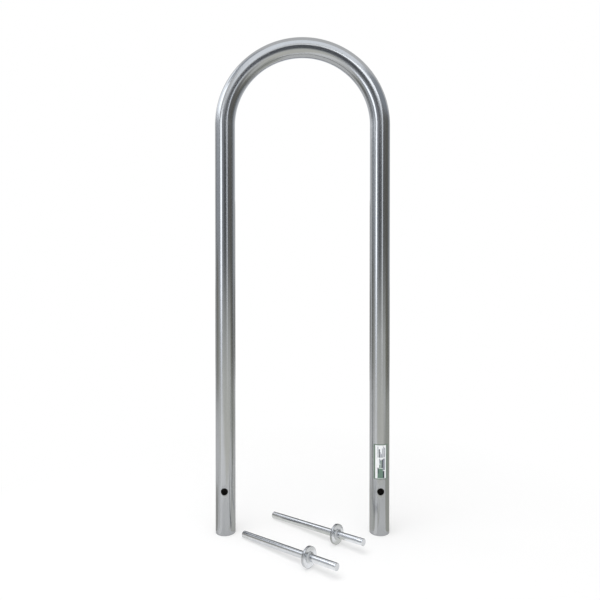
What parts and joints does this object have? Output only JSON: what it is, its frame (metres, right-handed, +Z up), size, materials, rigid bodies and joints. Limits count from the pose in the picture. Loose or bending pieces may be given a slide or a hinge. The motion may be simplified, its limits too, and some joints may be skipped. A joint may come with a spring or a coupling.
{
  "type": "hoop bike rack",
  "caption": "Inverted-U bike stand of bent round stainless tube, with cross-drilled legs and loose ground anchor bars.",
  "frame": {"origin": "on the ground, midway between the centres of the two legs' feet", "axes": "+Z up, +X to the right as seen from the front, from the left leg to the right leg, -Y towards the front; the hoop lies in the plane Y = 0"},
  "size_m": [0.4232, 0.2964, 1.2],
  "materials": {
    "stainless_tube": "satin",
    "label": "printed film",
    "zinc_bar": "bright zinc plate",
    "zinc_collar": "bright zinc plate",
    "weld": "rough weld bead"
  },
  "bodies": {
    "hoop": {"hoop_tube": "stainless_tube", "label": "label"},
    "anchor_1": {"anchor_1_bar": "zinc_bar", "anchor_1_collar": "zinc_collar", "anchor_1_weld": "weld"},
    "anchor_2": {"anchor_2_bar": "zinc_bar", "anchor_2_collar": "zinc_collar", "anchor_2_weld": "weld"}
  },
  "joints": [
    {"name": "anchor_1_lift", "type": "slide", "parent": "hoop", "child": "anchor_1", "axis": [0, 0, 1], "range_m": [0, 0.3]},
    {"name": "anchor_2_lift", "type": "slide", "parent": "hoop", "child": "anchor_2", "axis": [0, 0, 1], "range_m": [0, 0.3]}
  ]
}
